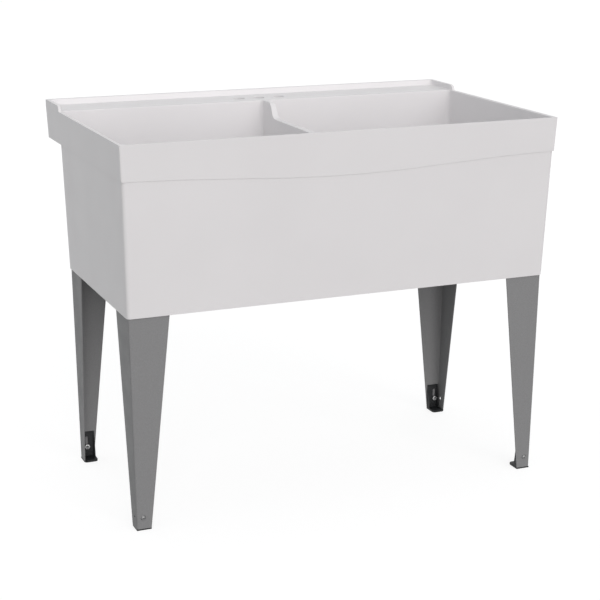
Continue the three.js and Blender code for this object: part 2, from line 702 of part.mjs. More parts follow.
// A pan-headed screw standing up, with the top of its head at Z = 0.
function screwGeometry() {
  const tip = SCREW_LENGTH + STEEL;
  const profile = [
    [0, -SCREW_HEAD_T], [SCREW_HEAD_D / 2 - SCREW_HEAD_T / 2, -SCREW_HEAD_T],
    [SCREW_HEAD_D / 2, -SCREW_HEAD_T / 2], [SCREW_HEAD_D / 2, 0],
    [SCREW_D / 2, 0], [SCREW_D / 2, tip - SCREW_D], [0, tip - TOUCH_GAP],
  ];
  return skin(solid(turned(profile, SMALL_ROUND_SIDES)));
}

// ---- Drain set, drawn round its own axis with Z = 0 at the floor of the bowl ----

// A ring that fits round the barrel and reaches out from it.
function barrelRing(reach, fromZ, toZ) {
  const inner = DRAIN_BARREL_D / 2 + TOUCH_GAP;
  const outer = DRAIN_BARREL_D / 2 + reach;
  return turned([[inner, fromZ], [outer, fromZ], [outer, toZ], [inner, toZ], [inner, fromZ]]);
}

const underFloor = FLOOR_UNDER_Z - DRAIN_FLOOR_Z;
const gasketTop = underFloor - TOUCH_GAP;
const washerTop = gasketTop - GASKET_T - TOUCH_GAP;
const locknutTop = washerTop - WASHER_T - TOUCH_GAP;

function drainBodyGeometry() {
  const underFlange = -DRAIN_FLANGE_T;
  const foot = underFlange - DRAIN_BARREL_LENGTH;
  const shell = turned([
    [DRAIN_BORE_D / 2, foot], [DRAIN_BARREL_D / 2, foot], [DRAIN_BARREL_D / 2, underFlange],
    [DRAIN_FLANGE_D / 2, underFlange], [DRAIN_FLANGE_D / 2, underFlange / 2],
    [DRAIN_FLANGE_D / 2 + underFlange / 2, 0],
    [DRAIN_SEAT_D / 2, 0], [DRAIN_BORE_D / 2, -DRAIN_SEAT_DEPTH], [DRAIN_BORE_D / 2, foot],
  ]);
  const reach = (DRAIN_BORE_D + DRAIN_BARREL_D) / 4;
  const barTop = -DRAIN_SEAT_DEPTH - STRAINER_T;
  const half = STRAINER_BAR / 2;
  const bars = [
    box(-reach, reach, -half, half, barTop - STRAINER_T, barTop),
    box(-half, half, -reach, reach, barTop - STRAINER_T, barTop),
  ];
  return skin(join(shell, ...bars));
}

function locknutGeometry() {
  const outer = DRAIN_BARREL_D / 2 + LOCKNUT_REACH;
  const bottom = locknutTop - LOCKNUT_T;
  const half = LOCKNUT_LUG / 2;
  const lugs = Array.from({ length: LOCKNUT_LUGS }, (_, i) => (
    box(outer - half, outer + LOCKNUT_LUG, -half, half, bottom, locknutTop - WASHER_T)
      .rotateZ((i * 2 * Math.PI) / LOCKNUT_LUGS)));
  return skin(join(barrelRing(LOCKNUT_REACH, bottom, locknutTop), ...lugs));
}

function stopperGeometry() {
  const lipTop = TOUCH_GAP + STOPPER_LIP_T;
  const knobBottom = lipTop + STOPPER_NECK_LENGTH;
  const knobTop = knobBottom + STOPPER_KNOB_T;
  const lipR = DRAIN_SEAT_D / 2 + STOPPER_LIP_REACH;
  const taper = DRAIN_SEAT_FLARE / DRAIN_SEAT_DEPTH;
  const plugTopR = DRAIN_SEAT_D / 2 - 2 * TOUCH_GAP;
  const plugFoot = -DRAIN_SEAT_DEPTH + TOUCH_GAP;
  const soften = STOPPER_KNOB_T / 4;
  return skin(solid(turned([
    [0, plugFoot], [plugTopR + taper * plugFoot, plugFoot], [plugTopR, TOUCH_GAP],
    [lipR, TOUCH_GAP], [lipR, lipTop - STOPPER_LIP_T / 2], [lipR - STOPPER_LIP_T, lipTop],
    [STOPPER_NECK_D / 2, lipTop + soften], [STOPPER_NECK_D / 2, knobBottom],
    [STOPPER_KNOB_D / 2, knobBottom + soften], [STOPPER_KNOB_D / 2, knobTop - soften],
    [STOPPER_KNOB_D / 2 - soften, knobTop], [0, knobTop],
  ])));
}

// ---- Assembly ----

addPiece('tub', tubGeometry(), 'tub');

const cornerShapes = {
  leg: legGeometry(),
  foot: footGeometry(),
  bolt: boltGeometry().translate(boltPlaceX, -TOUCH_GAP, BOLT_Z),
  nut: nutGeometry().translate(boltPlaceX, footWallBackY + TOUCH_GAP, BOLT_Z),
  screws: screwPlaces.map(([x, y]) => screwGeometry().translate(x, y, LEG_TOP_Z - STEEL - TOUCH_GAP)),
};

corners.forEach(({ name, sideX, sideY, x, y }) => {
  const corner = new THREE.Group();
  corner.position.set(x, y, 0);
  model.add(corner);
  const add = (piece, geometry, finish) => addPiece(
    piece, mirrored(geometry, -sideX, -sideY), finish, [0, 0, 0], corner);
  add(`leg_${name}`, cornerShapes.leg, 'leg');
  add(`foot_${name}`, cornerShapes.foot, 'foot');
  add(`foot_bolt_${name}`, cornerShapes.bolt, 'zinc');
  add(`foot_nut_${name}`, cornerShapes.nut, 'zinc');
  cornerShapes.screws.forEach((screw, i) => add(`leg_screw_${name}_${i + 1}`, screw, 'zinc'));
});

[['left', -1], ['right', 1]].forEach(([name, side]) => {
  const drain = new THREE.Group();
  drain.position.set(bowlCentre(side).x, bowlCentre(side).y, DRAIN_FLOOR_Z);
  model.add(drain);
  const add = (piece, geometry, finish) => addPiece(`${piece}_${name}`, geometry, finish, [0, 0, 0], drain);
  add('drain_body', drainBodyGeometry(), 'steel');
  add('drain_gasket', barrelRing(GASKET_REACH, gasketTop - GASKET_T, gasketTop), 'rubber');
  add('drain_washer', barrelRing(WASHER_REACH, washerTop - WASHER_T, washerTop), 'fibre');
  add('drain_locknut', locknutGeometry(), 'white');
  add('stopper', stopperGeometry(), 'rubber');
});

export default model;
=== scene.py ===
"""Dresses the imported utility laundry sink: soft edges, finishes, fasteners, drains, light and camera.

The frame is that of the CAD part: +X right, +Y towards the wall, +Z up, origin on the floor, in metres.
The fasteners and the drain sets are modelled in millimetres round their own axis, and then placed.
"""
import math

import bmesh
import bpy
from mathutils import Matrix, Vector


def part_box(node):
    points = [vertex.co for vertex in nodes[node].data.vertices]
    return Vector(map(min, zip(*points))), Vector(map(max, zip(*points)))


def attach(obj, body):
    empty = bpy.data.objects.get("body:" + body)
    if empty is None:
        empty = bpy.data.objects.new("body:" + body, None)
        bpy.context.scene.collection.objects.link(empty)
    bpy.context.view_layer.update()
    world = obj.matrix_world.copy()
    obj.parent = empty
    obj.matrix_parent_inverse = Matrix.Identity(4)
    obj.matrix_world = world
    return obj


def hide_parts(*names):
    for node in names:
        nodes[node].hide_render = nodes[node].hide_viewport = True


MM = 0.001

CORNERS = ("front_left", "front_right", "back_left", "back_right")
SIDES = ("left", "right")

# Camera
CAMERA_TARGET = Vector((0.0099, -0.0050, 0.3920))
CAMERA_DISTANCE = 3.5936
CAMERA_AZIMUTH = math.radians(-22.844)
CAMERA_ELEVATION = math.radians(15.524)
CAMERA_ROLL = math.radians(0.216)
CAMERA_LENS = 91.12
CAMERA_REACH = 100.0

# Light: a white room, and one broad lamp in front
SKY = 0.60
SKY_TINT = (0.968, 0.988, 1.0)
LAMP = 1.60
LAMP_TINT = (1.0, 0.97, 0.96)
LAMP_FROM = Vector((0.0, -0.94, 0.34))
LAMP_SPREAD = math.radians(60)
BACKDROP = 1.0

# Floor: pale under the object's light, and given a glow that brings it to the backdrop's white
FLOOR_SIZE = 14.0
FLOOR_WHITE = 0.25
FLOOR_ROUGHNESS = 0.9
FLOOR_GLOW = 0.81

# Rounding of hard edges: its width on each kind of piece, the steps across it and the angle it starts at
TUB_EDGE = 2.2 * MM
LEG_EDGE = 0.5 * MM
FOOT_EDGE = 0.6 * MM
LOCKNUT_EDGE = 0.35 * MM
EDGE_STEPS = 3
LOCKNUT_EDGE_STEPS = 2
EDGE_ANGLE = math.radians(32)

# Before the rounding, points this near are merged and faces this flat to each other are joined
WELD_DISTANCE = 0.05 * MM
FLAT_ANGLE = math.radians(1)

# Shading: how far large faces lead it, with 50 for not at all, and the angle past which an edge looks sharp
FACE_WEIGHT = 80
SMOOTH_ANGLE = math.radians(35)

# Turned pieces: steps round them, and the distance within which two points are one
ROUND = 64
FINE_ROUND = 96
SCREW_ROUND = 48
SAME_POINT = 0.001 * MM

# The stretch that most of a noise's values lie in
NOISE_LOW = 0.3
NOISE_HIGH = 0.7


# ---- Materials ----


def socket_name(key):
    return key.replace("_", " ").title().replace("Ior", "IOR")


class Finish:
    """A Principled material with short ways to hang noise on its colour, roughness and relief."""

    def __init__(self, name, **sockets):
        self.material = bpy.data.materials.new(name)
        self.material.use_nodes = True
        self.tree = self.material.node_tree
        self.shader = self.tree.nodes["Principled BSDF"]
        for key, value in sockets.items():
            self.shader.inputs[socket_name(key)].default_value = value
        self.place = self.tree.nodes.new("ShaderNodeTexCoord").outputs["Object"]
        self.normal = None

    def node(self, kind, links=(), **values):
        """A new node, with its properties and inputs set by name and its links made."""
        made = self.tree.nodes.new(kind)
        for key, value in values.items():
            if hasattr(made, key):
                setattr(made, key, value)
            else:
                made.inputs[socket_name(key)].default_value = value
        for socket, source in links:
            self.tree.links.new(source, made.inputs[socket])
        return made

    def stretched(self, scale):
        """The object's coordinates, stretched per axis."""
        return self.node("ShaderNodeMapping", [("Vector", self.place)], scale=scale).outputs["Vector"]

    def noise(self, scale, detail, where=None):
        """Noise with about so many features to the metre."""
        links = [("Vector", where or self.place)]
        return self.node("ShaderNodeTexNoise", links, scale=scale, detail=detail).outputs["Fac"]

    def rings(self, scale, distortion, detail):
        """Rings round the object's own Z."""
        return self.node(
            "ShaderNodeTexWave", [("Vector", self.place)], wave_type="RINGS", rings_direction="Z",
            scale=scale, distortion=distortion, detail=detail).outputs["Fac"]

    def colour(self, factor, dark, light):
        """Colours the surface from dark to light along the factor's middle stretch."""
        ramp = self.node("ShaderNodeValToRGB", [("Fac", factor)])
        stops = zip(ramp.color_ramp.elements, (NOISE_LOW, NOISE_HIGH), (dark, light))
        for element, position, colour in stops:
            element.position = position
            element.color = (*colour, 1)
        self.tree.links.new(ramp.outputs["Color"], self.shader.inputs["Base Color"])

    def rough(self, factor, low, high):
        """Spreads the roughness from low to high along the factor's middle stretch."""
        spread = self.node("ShaderNodeMapRange", [("Value", factor)], from_min=NOISE_LOW, from_max=NOISE_HIGH,
                           to_min=low, to_max=high)
        self.tree.links.new(spread.outputs["Result"], self.shader.inputs["Roughness"])

    def relief(self, height, distance, strength):
        """Adds a bump to those already there. The broadest comes first."""
        links = [("Height", height)]
        if self.normal is not None:
            links.append(("Normal", self.normal))
        made = self.node("ShaderNodeBump", links, distance=distance, strength=strength)
        self.normal = made.outputs["Normal"]
        self.tree.links.new(self.normal, self.shader.inputs["Normal"])


def tub_finish():
    """Satin moulded white: a faint cloud in its colour, slow waves in its faces and a fine grain."""
    f = Finish("tub_moulding", specular_ior_level=0.1)
    f.colour(f.noise(scale=5.0, detail=2.0), dark=(0.802, 0.786, 0.794), light=(0.822, 0.806, 0.814))
    f.rough(f.noise(scale=14.0, detail=4.0), low=0.29, high=0.37)
    f.relief(f.noise(scale=4.0, detail=1.0), distance=2.0 * MM, strength=0.12)
    f.relief(f.noise(scale=420.0, detail=2.0), distance=0.05 * MM, strength=0.30)
    return f.material


def leg_finish():
    """Satin grey paint with a fine metallic grain, on folded sheet."""
    f = Finish("leg_paint", specular_ior_level=0.08)
    f.colour(f.noise(scale=900.0, detail=4.0), dark=(0.228, 0.228, 0.231), light=(0.302, 0.302, 0.306))
    f.rough(f.noise(scale=30.0, detail=5.0), low=0.40, high=0.54)
    f.relief(f.noise(scale=8.0, detail=1.0), distance=1.0 * MM, strength=0.15)
    f.relief(f.noise(scale=700.0, detail=3.0), distance=0.06 * MM, strength=0.35)
    return f.material


def foot_finish():
    """Moulded black nylon with a fine spark-eroded grain."""
    f = Finish("foot_plastic", specular_ior_level=0.25)
    f.colour(f.noise(scale=60.0, detail=3.0), dark=(0.014, 0.015, 0.016), light=(0.026, 0.027, 0.029))
    f.rough(f.noise(scale=90.0, detail=4.0), low=0.38, high=0.56)
    f.relief(f.noise(scale=1500.0, detail=2.0), distance=0.08 * MM, strength=0.45)
    return f.material


def zinc_finish(name, dark, light):
    """Zinc plating with its cloudy grain."""
    f = Finish(name, metallic=1.0)
    f.colour(f.noise(scale=260.0, detail=5.0), dark, light)
    f.rough(f.noise(scale=500.0, detail=4.0), low=0.24, high=0.42)
    f.relief(f.noise(scale=1200.0, detail=3.0), distance=0.03 * MM, strength=0.4)
    return f.material


def steel_finish():
    """Turned stainless steel, with the fine rings that polishing leaves."""
    f = Finish("drain_steel", metallic=1.0)
    rings = f.rings(scale=900.0, distortion=1.5, detail=3.0)
    f.colour(f.noise(scale=80.0, detail=3.0), dark=(0.56, 0.57, 0.58), light=(0.68, 0.68, 0.68))
    f.rough(rings, low=0.14, high=0.28)
    f.relief(rings, distance=0.02 * MM, strength=0.25)
    return f.material


def rubber_finish():
    """Dull black rubber with a faint bloom."""
    f = Finish("black_rubber")
    f.colour(f.noise(scale=120.0, detail=4.0), dark=(0.016, 0.016, 0.016), light=(0.034, 0.033, 0.032))
    f.rough(f.noise(scale=200.0, detail=4.0), low=0.62, high=0.85)
    f.relief(f.noise(scale=900.0, detail=3.0), distance=0.08 * MM, strength=0.5)
    return f.material


def fibre_finish():
    """Pressed red fibre, its strands lying in its plane."""
    f = Finish("red_fibre", roughness=0.85)
    strands = f.noise(scale=200.0, detail=6.0, where=f.stretched((1.0, 5.0, 12.0)))
    f.colour(strands, dark=(0.19, 0.055, 0.03), light=(0.34, 0.12, 0.07))
    f.relief(strands, distance=0.1 * MM, strength=0.5)
    return f.material


def nut_finish():
    """Moulded off-white plastic."""
    f = Finish("nut_plastic")
    f.colour(f.noise(scale=40.0, detail=3.0), dark=(0.70, 0.70, 0.68), light=(0.78, 0.78, 0.76))
    f.rough(f.noise(scale=80.0, detail=3.0), low=0.34, high=0.48)
    f.relief(f.noise(scale=900.0, detail=3.0), distance=0.05 * MM, strength=0.3)
    return f.material


# ---- Mesh helpers ----


def lathe(profile, steps=ROUND):
    """A closed solid turned round Z from [radius, height] pairs in millimetres.

    The profile starts and ends on the axis, or closes on itself.
    """
    bm = bmesh.new()
    points = [bm.verts.new((r * MM, 0, z * MM)) for r, z in profile]
    edges = [bm.edges.new(pair) for pair in zip(points, points[1:])]
    bmesh.ops.spin(bm, geom=points + edges, cent=(0, 0, 0), axis=(0, 0, 1), angle=2 * math.pi,
                   steps=steps, use_merge=True, use_duplicate=False)
    bmesh.ops.remove_doubles(bm, verts=bm.verts, dist=SAME_POINT)
    bmesh.ops.recalc_face_normals(bm, faces=bm.faces)
    return bm


def arc(centre, radius, start, end, steps):
    """Points [r, z] in millimetres on an arc, between two angles in degrees."""
    angles = [math.radians(start + (end - start) * i / steps) for i in range(steps + 1)]
    return [(centre[0] + radius * math.cos(a), centre[1] + radius * math.sin(a)) for a in angles]


def eased(outer, low, high, ease):
    """The outside of a flat ring or disc, going up, with its two edges eased."""
    return [(outer - ease, low), (outer, low + ease), (outer, high - ease), (outer - ease, high)]


def block(low, high):
    """A box between two corners in millimetres."""
    bm = bmesh.new()
    size = [(b - a) * MM for a, b in zip(low, high)]
    middle = [(a + b) / 2 * MM for a, b in zip(low, high)]
    bmesh.ops.create_cube(bm, size=1.0, matrix=Matrix.Translation(middle) @ Matrix.Diagonal((*size, 1)))
    return bm


def prism(sides, radius, low, high, turn=0.0):
    """An upright prism between two heights, its corners on a circle, in millimetres."""
    bm = bmesh.new()
    matrix = Matrix.Translation((0, 0, (low + high) / 2 * MM)) @ Matrix.Rotation(turn, 4, "Z")
    bmesh.ops.create_cone(bm, cap_ends=True, segments=sides, radius1=radius * MM, radius2=radius * MM,
                          depth=(high - low) * MM, matrix=matrix)
    return bm


def as_object(bm, name="scratch"):
    mesh = bpy.data.meshes.new(name)
    bm.to_mesh(mesh)
    bm.free()
    made = bpy.data.objects.new(name, mesh)
    bpy.context.scene.collection.objects.link(made)
    return made


def combined(bm, tools, operation):
    """The solid joined with, cut by or kept within each tool in turn."""
    body = as_object(bm)
    others = [as_object(tool) for tool in tools]
    for other in others:
        step = body.modifiers.new("step", "BOOLEAN")
        step.operation = operation
        step.solver = "EXACT"
        step.object = other
    bpy.context.view_layer.update()
    result = bmesh.new()
    result.from_mesh(body.evaluated_get(bpy.context.evaluated_depsgraph_get()).data)
    for scratch in [body, *others]:
        bpy.data.meshes.remove(scratch.data)
    return result


def placed(bm, where, down_axis=None):
    """Moves a solid to a point, with its own -Z turned to face down_axis."""
    turn = Matrix.Identity(4)
    if down_axis is not None:
        turn = (-Vector(down_axis)).to_track_quat("Z", "Y").to_matrix().to_4x4()
    bm.transform(Matrix.Translation(where) @ turn)
    return bm


def soften(obj, width, steps=EDGE_STEPS):
    """Rounds an object's hard edges and evens its shading."""
    weld = obj.modifiers.new("weld", "WELD")
    weld.merge_threshold = WELD_DISTANCE
    flat = obj.modifiers.new("flat", "DECIMATE")
    flat.decimate_type = "DISSOLVE"
    flat.angle_limit = FLAT_ANGLE
    bevel = obj.modifiers.new("edges", "BEVEL")
    bevel.width = width
    bevel.segments = steps
    bevel.limit_method = "ANGLE"
    bevel.angle_limit = EDGE_ANGLE
    bevel.miter_outer = "MITER_ARC"
    shade = obj.modifiers.new("shade", "WEIGHTED_NORMAL")
    shade.weight = FACE_WEIGHT


def carry_over(obj, finish, edge):
    """Keeps a CAD node, with soft edges and a new finish."""
    obj.data.materials.clear()
    obj.data.materials.append(finish)
    for polygon in obj.data.polygons:
        polygon.use_smooth = True
        polygon.material_index = 0
    soften(obj, edge)


def piece(name, bm, finish, body, node):
    """A shown piece that stands for a CAD node and rides on its body."""
    made = as_object(bm, name)
    made.data.materials.append(finish)
    made.data.shade_smooth()
    made.data.set_sharp_from_angle(angle=SMOOTH_ANGLE)
    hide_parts(node)
    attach(made, body)
    return made


def middle_of(node):
    low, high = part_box(node)
    return (low + high) / 2


def outer_face(node, outward):
    """The Y of the face on a node's outward side."""
    low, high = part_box(node)
    return high.y if outward.y > 0 else low.y


# ---- Fasteners, in millimetres ----

BOLT_D = 6.35
BOLT_LENGTH = 15.4
BOLT_PITCH = 1.27
BOLT_THREAD_DEPTH = 0.45
BOLT_THREAD_TO_HEAD = 1.0
BOLT_TIP_CHAMFER = 0.9
BOLT_TIP_LENGTH = 0.6
BOLT_NECK_INSET = 0.2
BOLT_NECK_LENGTH = 0.6
BOLT_HEAD_D = 11.5
BOLT_HEAD_T = 3.4
BOLT_RECESS_REACH = 2.6
BOLT_RECESS_DEPTH = 1.7

NUT_WIDTH = 11.0
NUT_T = 5.5
NUT_FACE_INSET = 0.2
NUT_CHAMFER = 0.55
NUT_CHAMFER_PAST = 0.01
NUT_CLEARANCE = 0.28
HEX = 6

SCREW_D = 4.2
SCREW_LENGTH = 16.7
SCREW_PITCH = 1.4
SCREW_THREAD_DEPTH = 0.6
SCREW_THREAD_TO_HEAD = 0.8
SCREW_POINT_LENGTH = 3.2
SCREW_TIP_R = 0.5
SCREW_TIP_LENGTH = 0.6
SCREW_NECK_INSET = 0.4
SCREW_HEAD_D = 9.0
SCREW_HEAD_T = 2.8
SCREW_HEAD_ROUND = 1.5
SCREW_HEAD_SWEEP = 75
SCREW_HEAD_CROWN = 0.1
SCREW_RECESS_REACH = 2.1
SCREW_RECESS_DEPTH = 1.5
SCREWS_PER_LEG = 2

# A thread's crest runs between these shares of each turn
CREST_START = 0.35
CREST_END = 0.55

# A recess's bar: its width as a share of its length, and its floor's length and width as shares of its top's
RECESS_SLENDERNESS = 0.24
RECESS_FLOOR_LENGTH = 0.35
RECESS_FLOOR_WIDTH = 0.5

# How far a cutting tool reaches past the face that it opens
CUT_PAST = 1.0


def thread(radius, low, high, pitch, depth):
    """The outside of a thread drawn as rings, as [radius, height] pairs going up."""
    turns = int((high - low) / pitch)
    root = radius - depth
    rings = []
    for i in range(turns):
        foot = low + i * pitch
        rings += [(root, foot), (radius, foot + CREST_START * pitch), (radius, foot + CREST_END * pitch)]
    return [*rings, (root, low + turns * pitch)]


def driver_recess(reach, depth, top):
    """The two crossed bars that cut a driver recess, each narrowing towards its floor."""
    bars = []
    for turn in (0, math.pi / 2):
        half_width = reach * RECESS_SLENDERNESS
        bar = block((-reach, -half_width, -depth), (reach, half_width, CUT_PAST))
        for v in bar.verts:
            if v.co.z < 0:
                v.co.x *= RECESS_FLOOR_LENGTH
                v.co.y *= RECESS_FLOOR_WIDTH
        bar.transform(Matrix.Translation((0, 0, top * MM)) @ Matrix.Rotation(turn, 4, "Z"))
        bars.append(bar)
    return bars


def bolt_solid():
    """A round-headed machine bolt, its head up and the head's underside at Z = 0."""
    head_r = BOLT_HEAD_D / 2
    shank_r = BOLT_D / 2
    tip = -BOLT_LENGTH
    dome_r = (head_r * head_r + BOLT_HEAD_T * BOLT_HEAD_T) / (2 * BOLT_HEAD_T)
    dome_sweep = math.degrees(math.asin(head_r / dome_r))
    dome = arc((0, BOLT_HEAD_T - dome_r), dome_r, 90 - dome_sweep, 90, steps=10)
    profile = [
        (0, tip), (shank_r - BOLT_TIP_CHAMFER, tip),
        *thread(shank_r, tip + BOLT_TIP_LENGTH, -BOLT_THREAD_TO_HEAD, BOLT_PITCH, BOLT_THREAD_DEPTH),
        (shank_r - BOLT_NECK_INSET, -BOLT_NECK_LENGTH), (shank_r - BOLT_NECK_INSET, 0),
        *dome[:-1], (0, BOLT_HEAD_T)]
    recess = driver_recess(BOLT_RECESS_REACH, BOLT_RECESS_DEPTH, BOLT_HEAD_T)
    return combined(lathe(profile), recess, "DIFFERENCE")


def nut_solid():
    """A hexagon nut with both faces chamfered, its bearing face at Z = 0, reaching down."""
    corner_r = NUT_WIDTH / math.sqrt(3)
    face_r = NUT_WIDTH / 2 - NUT_FACE_INSET
    outside_r = corner_r + NUT_CHAMFER_PAST
    chamfers = lathe([
        (0, -NUT_T), (face_r, -NUT_T), (outside_r, -NUT_T + NUT_CHAMFER),
        (outside_r, -NUT_CHAMFER), (face_r, 0), (0, 0)], FINE_ROUND)
    bore = prism(ROUND, BOLT_D / 2 + NUT_CLEARANCE, -NUT_T - CUT_PAST, CUT_PAST)
    body = combined(prism(HEX, corner_r, -NUT_T, 0, math.pi / HEX), [chamfers], "INTERSECT")
    return combined(body, [bore], "DIFFERENCE")


def screw_solid():
    """A pan-headed tapping screw, its head up and the head's underside at Z = 0."""
    head_r = SCREW_HEAD_D / 2
    shank_r = SCREW_D / 2
    tip = -SCREW_LENGTH
    shoulder = (head_r - SCREW_HEAD_ROUND, SCREW_HEAD_T - SCREW_HEAD_CROWN - SCREW_HEAD_ROUND)
    profile = [
        (0, tip), (SCREW_TIP_R, tip + SCREW_TIP_LENGTH),
        *thread(shank_r, tip + SCREW_POINT_LENGTH, -SCREW_THREAD_TO_HEAD, SCREW_PITCH, SCREW_THREAD_DEPTH),
        (shank_r - SCREW_NECK_INSET, 0), (head_r, 0),
        *arc(shoulder, SCREW_HEAD_ROUND, 0, SCREW_HEAD_SWEEP, steps=5), (0, SCREW_HEAD_T)]
    recess = driver_recess(SCREW_RECESS_REACH, SCREW_RECESS_DEPTH, SCREW_HEAD_T)
    return combined(lathe(profile, SCREW_ROUND), recess, "DIFFERENCE")


def make_fasteners(corner, painted_shade_zinc, bright):
    """The bolt and the nut at a leg's foot, and the screws that hold its top."""
    outward = Vector((0, -1, 0)) if corner.startswith("front") else Vector((0, 1, 0))

    bolt = f"foot_bolt_{corner}"
    seat = middle_of(bolt)
    seat.y = outer_face(bolt, outward) - outward.y * BOLT_HEAD_T * MM
    # The bolt head takes the darkened zinc, whose painted shade stands in for dark reflections
    piece(f"round_head_bolt_{corner}", placed(bolt_solid(), seat, -outward), painted_shade_zinc,
          "sink", bolt)

    nut = f"foot_nut_{corner}"
    seat = middle_of(nut)
    seat.y = outer_face(nut, outward)
    piece(f"hex_nut_{corner}", placed(nut_solid(), seat, -outward), bright,
          "sink", nut)

    for number in range(1, SCREWS_PER_LEG + 1):
        screw = f"leg_screw_{corner}_{number}"
        seat = middle_of(screw)
        seat.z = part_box(screw)[0].z + SCREW_HEAD_T * MM
        piece(f"pan_head_screw_{corner}_{number}", placed(screw_solid(), seat, (0, 0, 1)), bright,
              "sink", screw)


# ---- Drain sets, in millimetres, with Z = 0 at the top of the flange ----

DRAIN_BORE_R = 18.0
DRAIN_BARREL_R = 22.0
DRAIN_BARREL_CLEARANCE = 0.3
DRAIN_FLANGE_R = 36.0
DRAIN_FLANGE_T = 2.5
DRAIN_LENGTH = 64.5
DRAIN_NECK_LENGTH = 3.0
DRAIN_END_CHAMFER = 1.0
DRAIN_THREAD_PITCH = 2.2
DRAIN_THREAD_DEPTH = 0.8
DRAIN_LIP_ROUND = 1.6
DRAIN_LIP_SWEEP = 70
DRAIN_SEAT_R = 21.0
DRAIN_SEAT_DEPTH = 9.0
DRAIN_SEAT_FOOT_INSET = 0.5
DRAIN_SEAT_FOOT_HEIGHT = 0.8

STRAINER_TOP = -11.5
STRAINER_T = 2.5
STRAINER_BAR_HALF = 1.5
STRAINER_SUNK = 2.0
STRAINER_HUB_R = 5.0
STRAINER_HUB_EASE = 0.5

GASKET_R = 33.0
GASKET_T = 3.0
GASKET_EASE = 0.5
WASHER_R = 31.0
WASHER_T = 1.5
WASHER_EASE = 0.2

LOCKNUT_R = 27.0
LOCKNUT_T = 11.0
LOCKNUT_EASE = 0.8
LOCKNUT_LUGS = 8
LOCKNUT_LUG_WIDTH = 5.0
LOCKNUT_LUG_REACH = 5.0
LOCKNUT_LUG_ROOT = 2.5
LOCKNUT_LUG_DROP = 1.5

# The stopper, from its foot up. The rib, the shoulder and the crown are [radius, height] pairs
STOPPER_OFF_SEAT = 0.3
STOPPER_HOLLOW_R = 11.5
STOPPER_HOLLOW_DEPTH = 2.0
STOPPER_HOLLOW_FLARE = 1.5
STOPPER_FOOT_R = 17.5
STOPPER_FOOT_ROUND = 0.8
STOPPER_FOOT_SWEEP = 75
STOPPER_RIB = ((18.9, -4.0), (19.4, -3.4), (19.1, -2.8))
STOPPER_THROAT_R = 20.3
STOPPER_LIP_R = 26.0
STOPPER_LIP_LOW = 0.3
STOPPER_LIP_ROUND = 0.9
STOPPER_LIP_SWEEP = 150
STOPPER_LIP_FILLET = 0.1
STOPPER_SHOULDER = ((22.0, 3.4), (14.0, 3.7))
STOPPER_NECK_R = 5.5
STOPPER_NECK_ROUND = 4.5
STOPPER_KNOB_R = 9.5
STOPPER_KNOB_HEIGHT = 11.3
STOPPER_KNOB_ROUND = 1.6
STOPPER_CROWN = ((6.2, 15.2), (2.5, 15.29), (0, 15.3))


def drain_solid():
    """Flange with a rolled edge, tapered seat, threaded barrel and cross-bar strainer."""
    bottom = -DRAIN_LENGTH
    threads = thread(DRAIN_BARREL_R, bottom + DRAIN_END_CHAMFER, -DRAIN_FLANGE_T - DRAIN_NECK_LENGTH,
                     DRAIN_THREAD_PITCH, DRAIN_THREAD_DEPTH)
    edge_r = DRAIN_FLANGE_T / 2
    edge = arc((DRAIN_FLANGE_R - edge_r, -edge_r), edge_r, -90, 90, steps=8)
    lip_centre = (DRAIN_SEAT_R + DRAIN_LIP_ROUND, -DRAIN_LIP_ROUND)
    lip = arc(lip_centre, DRAIN_LIP_ROUND, 90, 90 + DRAIN_LIP_SWEEP, steps=5)
    profile = [
        (DRAIN_BORE_R, bottom), (DRAIN_BARREL_R - DRAIN_END_CHAMFER, bottom), *threads,
        (DRAIN_BARREL_R - DRAIN_THREAD_DEPTH, -DRAIN_FLANGE_T), *edge, *lip,
        (DRAIN_BORE_R + DRAIN_SEAT_FOOT_INSET, -DRAIN_SEAT_DEPTH + DRAIN_SEAT_FOOT_HEIGHT),
        (DRAIN_BORE_R, -DRAIN_SEAT_DEPTH), (DRAIN_BORE_R, bottom)]
    return combined(lathe(profile, FINE_ROUND), strainer_solids(), "UNION")


def strainer_solids():
    """Two crossed bars, sunk into the barrel's wall, and the hub where they meet."""
    reach = DRAIN_BORE_R + STRAINER_SUNK
    low, high = STRAINER_TOP - STRAINER_T, STRAINER_TOP
    return [
        block((-reach, -STRAINER_BAR_HALF, low), (reach, STRAINER_BAR_HALF, high)),
        block((-STRAINER_BAR_HALF, -reach, low), (STRAINER_BAR_HALF, reach, high)),
        lathe([(0, low), *eased(STRAINER_HUB_R, low, high, STRAINER_HUB_EASE), (0, high)])]


def ring_solid(outer, low, high, ease):
    """A flat ring round the drain's barrel, with its edges eased."""
    inner = DRAIN_BARREL_R + DRAIN_BARREL_CLEARANCE
    inside = [(inner + ease, high), (inner, high - ease), (inner, low + ease), (inner + ease, low)]
    return lathe([inside[-1], *eased(outer, low, high, ease), *inside], FINE_ROUND)


def locknut_solid(top):
    """A moulded locknut: a ring with lugs to turn it by."""
    bottom = top - LOCKNUT_T
    half_width = LOCKNUT_LUG_WIDTH / 2
    lugs = []
    for i in range(LOCKNUT_LUGS):
        lug = block((LOCKNUT_R - LOCKNUT_LUG_ROOT, -half_width, bottom),
                    (LOCKNUT_R + LOCKNUT_LUG_REACH, half_width, top - LOCKNUT_LUG_DROP))
        lug.transform(Matrix.Rotation(2 * math.pi * i / LOCKNUT_LUGS, 4, "Z"))
        lugs.append(lug)
    return combined(ring_solid(LOCKNUT_R, bottom, top, LOCKNUT_EASE), lugs, "UNION")


